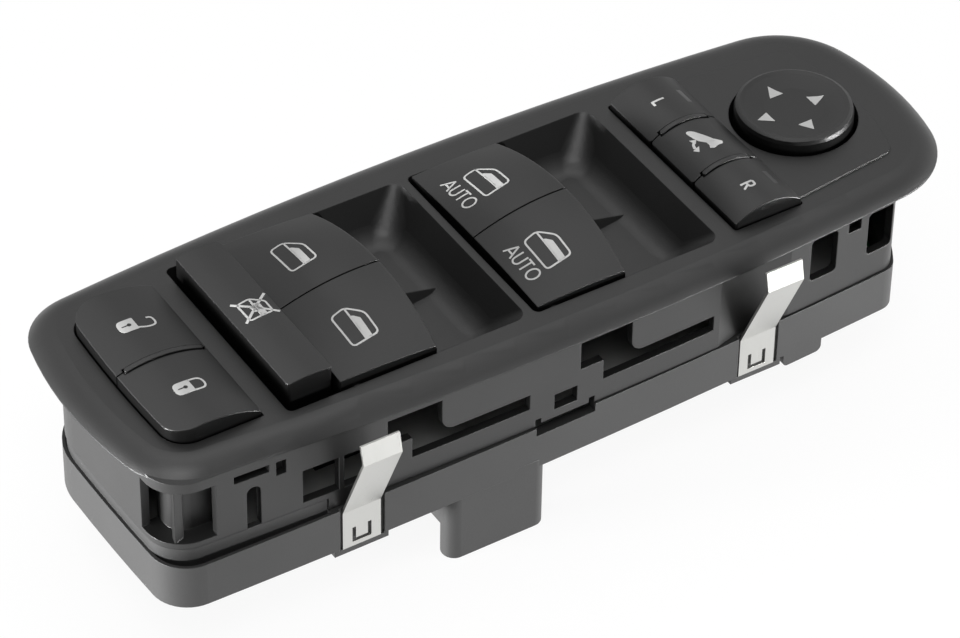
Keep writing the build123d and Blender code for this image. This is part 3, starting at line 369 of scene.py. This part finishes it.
def printSymbol(name, shapes, centre, node, body, material=None, lift=None):
    # centre is the symbol's (x, y) on the panel in mm, lift its gap to the cap; u runs along -Y and v along +X
    points = np.vstack([p for p, f in shapes])
    starts = np.cumsum([0] + [len(p) for p, f in shapes[:-1]])
    faces = np.vstack([f + start for (p, f), start in zip(shapes, starts)])
    flat = np.column_stack([centre[0] + points[:, 1], centre[1] - points[:, 0],
                            np.full(len(points), ink["dropFrom"])]) * mm
    mesh = bpy.data.meshes.new(name)
    mesh.from_pydata(flat.tolist(), [], faces.tolist())
    piece = bpy.data.objects.new(name, mesh)
    bpy.context.scene.collection.objects.link(piece)
    drape = piece.modifiers.new("drape", "SHRINKWRAP")
    drape.target = nodes[node]
    drape.wrap_method = "PROJECT"
    drape.use_project_z = True
    drape.use_negative_direction = True
    drape.use_positive_direction = False
    drape.offset = (ink["lift"] if lift is None else lift) * mm
    layer = piece.modifiers.new("layer", "SOLIDIFY")
    layer.thickness = ink["thickness"] * mm
    layer.offset = 1.0
    settled = piece.evaluated_get(bpy.context.evaluated_depsgraph_get())
    finished = bpy.data.meshes.new_from_object(settled)
    piece.modifiers.clear()
    piece.data = finished
    finished.materials.clear()
    finished.materials.append(material or symbolInk)
    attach(piece, body)


# Window symbol: a door with its glass half down, one size on the four paddles

windowIcon = {
    "door": [(-4.5, -3.45), (-5.3, 0.25), (-2.0, 3.6), (4.15, 3.55), (5.05, -3.35)],
    "belt": [(-5.2, 0.25), (4.6, 0.15)],
    "glass": [(-2.6, 0.3), (-2.35, 0.9), (-1.1, 2.0), (4.35, 1.85), (4.6, 0.15)],
    "stroke": 0.44, "cornerRadius": 1.1,
}


def windowSymbol():
    # the door's outline, its belt line and the filled glass above it
    door = roundedLine(windowIcon["door"], windowIcon["cornerRadius"], closed=True)
    return [ribbon(door, windowIcon["stroke"], closed=True), ribbon(windowIcon["belt"], windowIcon["stroke"]),
            patch(windowIcon["glass"])]


# widths and heights of letters are measured between the middles of their strokes
autoWord = {"height": 3.3, "stroke": 0.43, "letterWidths": {"A": 2.75, "U": 1.95, "T": 2.1, "O": 2.6},
            "gapAfter": {"A": 0.55, "U": 0.5, "T": 0.55, "O": 0.0}}


# shares of a letter's height or width
letterForm = {"barOfA": 0.32, "waistOfR": 0.48, "bowlWidthOfR": 0.92, "bowlRadiusOfR": 0.24,
              "legFromOfR": 0.45}


def letterShapes(letter, width, height, stroke):
    # strokes of one capital, its lower left corner at the origin: straight lines, half an ellipse under the U,
    # a whole one for the O and rounded corners on the R
    if letter == "A":
        foot = height * letterForm["barOfA"]
        inset = width / 2 * foot / height
        return [ribbon([(0, 0), (width / 2, height)], stroke),
                ribbon([(width / 2, height), (width, 0)], stroke),
                ribbon([(inset, foot), (width - inset, foot)], stroke)]
    if letter == "U":
        bowl = ellipse((width / 2, width / 2), width / 2, width / 2, 180, 360)
        return [ribbon(np.vstack([[(0, height)], bowl, [(width, height)]]), stroke)]
    if letter == "T":
        return [ribbon([(0, height), (width, height)], stroke),
                ribbon([(width / 2, height), (width / 2, 0)], stroke)]
    if letter == "O":
        return [ribbon(ellipse((width / 2, height / 2), width / 2, height / 2)[:-1], stroke, closed=True)]
    if letter == "L":
        return [ribbon([(0, height), (0, 0)], stroke), ribbon([(-stroke / 2, 0), (width, 0)], stroke)]
    reach, waist = width * letterForm["bowlWidthOfR"], height * letterForm["waistOfR"]
    bowl = roundedLine([(0, height), (reach, height), (reach, waist), (0, waist)],
                       height * letterForm["bowlRadiusOfR"])
    return [ribbon([(0, height), (0, 0)], stroke), ribbon(bowl, stroke),
            ribbon([(width * letterForm["legFromOfR"], waist), (width, 0)], stroke)]


def autoShapes():
    # the four letters side by side, the word's middle at the origin
    shapes = []
    at = 0.0
    for letter in "AUTO":
        width = autoWord["letterWidths"][letter]
        shapes += moved(letterShapes(letter, width, autoWord["height"], autoWord["stroke"]), at, 0)
        at += width + autoWord["gapAfter"][letter]
    return moved(shapes, -at / 2, -autoWord["height"] / 2)


# where the middle of each symbol lies on the panel, mm
paddlePrints = {
    "rear_left_paddle": {"icon": (-46.4, 12.7)},
    "rear_right_paddle": {"icon": (-46.85, -14.25)},
    "front_left_paddle": {"icon": (3.95, 13.3), "word": (-3.05, 13.6)},
    "front_right_paddle": {"icon": (2.95, -13.6), "word": (-3.65, -13.7)},
}
for nodeName, places in paddlePrints.items():
    body = nodeName + "_body"
    printSymbol(nodeName + "_window", windowSymbol(), places["icon"], nodeName, body)
    if "word" in places:
        printSymbol(nodeName + "_auto", autoShapes(), places["word"], nodeName, body)
print("paddle symbols printed")


# Lockout symbol: a small window crossed out

lockoutPrint = {
    "centre": (-63.3, 0.2), "scale": (0.62, 0.86), "cornerRadius": 0.7, "stroke": 0.46, "cross": 0.62,
    "lines": [[(-3.7, -4.1), (3.35, 4.3)], [(-3.6, 4.3), (3.3, -4.0)]],
    "blot": [(-0.9, -1.0), (-1.2, 0.7), (0.2, 1.2), (1.3, 0.3), (1.2, -0.7)],  # where the lines run together
}
smallDoor, smallBelt, smallGlass = (np.array(windowIcon[part]) * lockoutPrint["scale"]
                                    for part in ("door", "belt", "glass"))
smallDoor = roundedLine(smallDoor, lockoutPrint["cornerRadius"], closed=True)
crossedWindow = [ribbon(smallDoor, lockoutPrint["stroke"], closed=True),
                 ribbon(smallBelt, lockoutPrint["stroke"]), patch(smallGlass)]
crossedWindow += [ribbon(line, lockoutPrint["cross"]) for line in lockoutPrint["lines"]]
crossedWindow.append(patch(lockoutPrint["blot"]))
printSymbol("lockout_symbol", crossedWindow, lockoutPrint["centre"], "lockout_button", "lockout_body")

# Padlocks: body with a rounded foot, shackle, and a keyhole in the cap's own colour

padlock = {
    "halfWidth": 1.95, "foot": -2.15, "top": 2.1, "topRadius": 0.05, "footRadius": 1.9, "footTop": 0.3,
    "shackle": 0.48, "shackleRise": 2.9, "shackleSunk": 0.2, "closedRadius": 1.75, "openRadius": 1.8,
    "openPath": [(1.5, 1.9), (2.35, 4.2), (1.9, 6.4), (-0.7, 6.3), (-0.75, 5.0)],
    "keyhole": (0.0, 0.55), "keyholeRadius": 0.5, "keyholeStep": 0.2, "keyholeRings": 4,
    "slotEnd": (0.0, -1.25), "slotWidth": 0.3,
}


def padlockBody():
    # a plate with square shoulders whose lower corners round into a bowl
    half = padlock["halfWidth"]
    outline = roundedLine([(half, padlock["top"]), (-half, padlock["top"]), (-half, padlock["foot"]),
                           (half, padlock["foot"])], padlock["topRadius"], closed=True)
    upper = outline[outline[:, 1] >= 0]
    foot = roundedLine([(-half, padlock["footTop"]), (-half, padlock["foot"]), (half, padlock["foot"]),
                        (half, padlock["footTop"])], padlock["footRadius"])
    return [patch(np.vstack([upper, foot]))]


def keyholeShapes():
    # a round hole and the slot below it
    circle = ellipse(padlock["keyhole"], padlock["keyholeRadius"], padlock["keyholeRadius"])[:-1]
    return [patch(circle, padlock["keyholeStep"], padlock["keyholeRings"]),
            ribbon([padlock["keyhole"], padlock["slotEnd"]], padlock["slotWidth"])]


half = padlock["halfWidth"] - padlock["shackle"] / 2
crest = padlock["top"] + padlock["shackleRise"]
root = padlock["top"] - padlock["shackleSunk"]
closedPath = roundedLine([(-half, root), (-half, crest), (half, crest), (half, root)],
                         padlock["closedRadius"])
closedShackle = [ribbon(closedPath, padlock["shackle"])]
openShackle = [ribbon(roundedLine(padlock["openPath"], padlock["openRadius"]), padlock["shackle"])]
lockPrints = {"lock": {"centre": (-88.35, -12.85), "shackle": closedShackle},
              "unlock": {"centre": (-88.95, 10.95), "shackle": openShackle}}
for word, spot in lockPrints.items():
    printSymbol(word + "_symbol", padlockBody() + spot["shackle"], spot["centre"], word + "_button",
                word + "_body")
    printSymbol(word + "_keyhole", keyholeShapes(), spot["centre"], word + "_button", word + "_body",
                keyholePaint, ink["lift"] + ink["thickness"])
print("lock symbols printed")


# Mirror buttons: L, R and the fold symbol, a mirror on its foot with a bent double arrow

mirrorPrint = {
    "letterHeight": 3.1, "leftWidth": 1.35, "rightWidth": 1.7, "stroke": 0.55,
    "leftAt": (51.1, 17.1), "rightAt": (51.3, -18.1), "foldCentre": (53.15, 0.1),
}
for word in ("left", "right"):
    letter = letterShapes(word[0].upper(), mirrorPrint[word + "Width"], mirrorPrint["letterHeight"],
                          mirrorPrint["stroke"])
    printSymbol("mirror_" + word + "_letter", letter, mirrorPrint[word + "At"], "mirror_" + word + "_button",
                "mirror_" + word + "_body")
foldMark = {
    "glass": [(-3.85, -1.9), (-3.9, -0.9), (-3.1, -0.1), (-0.8, 1.3), (1.3, 2.5), (2.2, 2.0), (1.9, 0.4),
              (0.3, -1.0), (-1.6, -1.6)],
    "foot": [(1.2, 2.4), (2.6, 4.0), (3.4, 3.6), (3.7, 1.8), (4.2, 0.8), (3.7, -0.2), (2.9, 0.3), (1.6, 0.2)],
    "arrow": [(-0.1, -1.9), (0.7, -2.75), (1.9, -2.95)],
    "headA": [(-1.15, -2.6), (-0.35, -1.2), (0.75, -2.05)],
    "headB": [(1.75, -1.85), (3.4, -2.8), (2.15, -3.7)],
    "stroke": 0.62, "glassRadius": 0.5, "footRadius": 0.2, "arrowRadius": 0.9,
}
foldShapes = [patch(roundedLine(foldMark["glass"], foldMark["glassRadius"], closed=True)),
              patch(roundedLine(foldMark["foot"], foldMark["footRadius"], closed=True)),
              ribbon(roundedLine(foldMark["arrow"], foldMark["arrowRadius"]), foldMark["stroke"]),
              patch(foldMark["headA"]), patch(foldMark["headB"])]
printSymbol("mirror_fold_symbol", foldShapes, mirrorPrint["foldCentre"], "mirror_fold_button",
            "mirror_fold_body")

# Knob: four triangles that point outwards

knobPrint = {"centre": (77.8, -0.1), "inner": 5.6, "outer": 9.3, "halfBase": 1.85}
triangle = np.array([(-knobPrint["halfBase"], knobPrint["inner"]),
                     (knobPrint["halfBase"], knobPrint["inner"]), (0, knobPrint["outer"])])
triangles = []
for turn in range(4):
    c, s = math.cos(turn * math.pi / 2), math.sin(turn * math.pi / 2)
    triangles.append(patch(triangle @ np.array([[c, s], [-s, c]])))
printSymbol("knob_triangles", triangles, knobPrint["centre"], "mirror_knob", "knob_body")
print("mirror and knob symbols printed")


# Studio: pale floor that stays white to the camera, soft lamps, and the photograph's camera

studio = {
    "floorHalf": 4.0, "floorColour": "#f2f2f2", "floorRough": 0.9, "floorWhite": 0.9,
    "worldDim": 0.05, "worldBright": 0.66, "brightTowards": (0.62, 0.5, 0.6),
    "dimBelow": -0.3, "brightAbove": 0.95,  # cosines of the angle from the bright side
    "lamps": [  # places in metres, power in watts, each aimed at the origin
        {"name": "keyLamp", "at": (-0.5, -0.6, 1.3), "size": 0.8, "height": 0.8, "power": 9.0},
        {"name": "backLamp", "at": (0.25, 0.4, 1.3), "size": 1.0, "height": 1.0, "power": 4.0},
        {"name": "frontLamp", "at": (0.62, -0.55, -0.005), "size": 0.5, "height": 0.06, "power": 14.0},
        {"name": "leftLamp", "at": (-1.2, 0.15, 0.02), "size": 0.5, "height": 0.12, "power": 56.0},
    ],
}
floorZ = cadBox[0][2]
side = studio["floorHalf"]
floorMesh = bpy.data.meshes.new("floor")
floorMesh.from_pydata([(-side, -side, floorZ), (side, -side, floorZ), (side, side, floorZ),
                       (-side, side, floorZ)], [], [(0, 1, 2, 3)])
floor = bpy.data.objects.new("floor", floorMesh)
bpy.context.scene.collection.objects.link(floor)
floorPaper = bpy.data.materials.new("floorWhitePaper")
floorPaper.use_nodes = True
paperTree = floorPaper.node_tree
paper = paperTree.nodes["Principled BSDF"]
paper.inputs["Base Color"].default_value = hexLinear(studio["floorColour"])
paper.inputs["Roughness"].default_value = studio["floorRough"]
whiteGlow = addNode(paperTree, "ShaderNodeEmission", None, {"Color": hexLinear("#ffffff"), "Strength": 1.0})
rays = addNode(paperTree, "ShaderNodeLightPath")
seen = addNode(paperTree, "ShaderNodeMath", {"operation": "MAXIMUM"}, None,
               {0: rays.outputs["Is Camera Ray"], 1: rays.outputs["Is Glossy Ray"]})
share = addNode(paperTree, "ShaderNodeMath", {"operation": "MULTIPLY"}, {1: studio["floorWhite"]},
                {0: seen.outputs[0]})
blend = addNode(paperTree, "ShaderNodeMixShader", None, None,
                {0: share.outputs[0], 1: paper.outputs[0], 2: whiteGlow.outputs[0]})
paperTree.links.new(blend.outputs[0], paperTree.nodes["Material Output"].inputs["Surface"])
floorMesh.materials.append(floorPaper)

world = bpy.data.worlds.new("studioWorld")
world.use_nodes = True
bpy.context.scene.world = world
worldTree = world.node_tree
background = worldTree.nodes["Background"]
background.inputs["Color"].default_value = hexLinear("#ffffff")
worldRays = addNode(worldTree, "ShaderNodeLightPath")
direction = addNode(worldTree, "ShaderNodeTexCoord")
aimed = addNode(worldTree, "ShaderNodeVectorMath", {"operation": "DOT_PRODUCT"},
                {1: studio["brightTowards"]}, {0: direction.outputs["Generated"]})
panel = addNode(worldTree, "ShaderNodeMapRange", {"interpolation_type": "SMOOTHSTEP"},
                {"From Min": studio["dimBelow"], "From Max": studio["brightAbove"],
                 "To Min": studio["worldDim"], "To Max": studio["worldBright"]},
                {"Value": aimed.outputs["Value"]})
# the camera itself sees the world as pure white
glow = addNode(worldTree, "ShaderNodeMapRange", None, {"To Max": 1.0},
               {"Value": worldRays.outputs["Is Camera Ray"], "To Min": panel.outputs["Result"]})
worldTree.links.new(glow.outputs["Result"], background.inputs["Strength"])

for lamp in studio["lamps"]:
    data = bpy.data.lights.new(lamp["name"], "AREA")
    data.shape = "RECTANGLE"
    data.size = lamp["size"]
    data.size_y = lamp["height"]
    data.energy = lamp["power"]
    lampObject = bpy.data.objects.new(lamp["name"], data)
    bpy.context.scene.collection.objects.link(lampObject)
    place = Vector(lamp["at"])
    lampObject.location = place
    lampObject.rotation_euler = place.to_track_quat("Z", "Y").to_euler()

# fitted to the photograph: degrees, metres for the place and the clip end, millimetres for lens and sensor
view = {"azimuth": -32.671, "elevation": 40.829, "roll": 0.930, "at": (-0.41515, -0.63843, 0.63515),
        "lens": 166.886, "sensor": 36.0, "clipEnd": 50}
azimuth, elevation, roll = (math.radians(view[key]) for key in ("azimuth", "elevation", "roll"))
back = np.array([math.sin(azimuth) * math.cos(elevation), -math.cos(azimuth) * math.cos(elevation),
                 math.sin(elevation)])
level = np.cross([0, 0, 1], back)
level /= np.linalg.norm(level)
above = np.cross(back, level)
right = math.cos(roll) * level + math.sin(roll) * above
up = math.cos(roll) * above - math.sin(roll) * level
cameraData = bpy.data.cameras.new("studioCamera")
cameraData.lens = view["lens"]
cameraData.sensor_width = view["sensor"]
cameraData.clip_end = view["clipEnd"]
camera = bpy.data.objects.new("studioCamera", cameraData)
turned = Matrix(np.column_stack([right, up, back]).tolist()).to_4x4()
camera.matrix_world = Matrix.Translation(view["at"]) @ turned
bpy.context.scene.collection.objects.link(camera)
bpy.context.scene.camera = camera
bpy.context.scene.view_settings.view_transform = "Standard"
print("studio ready")
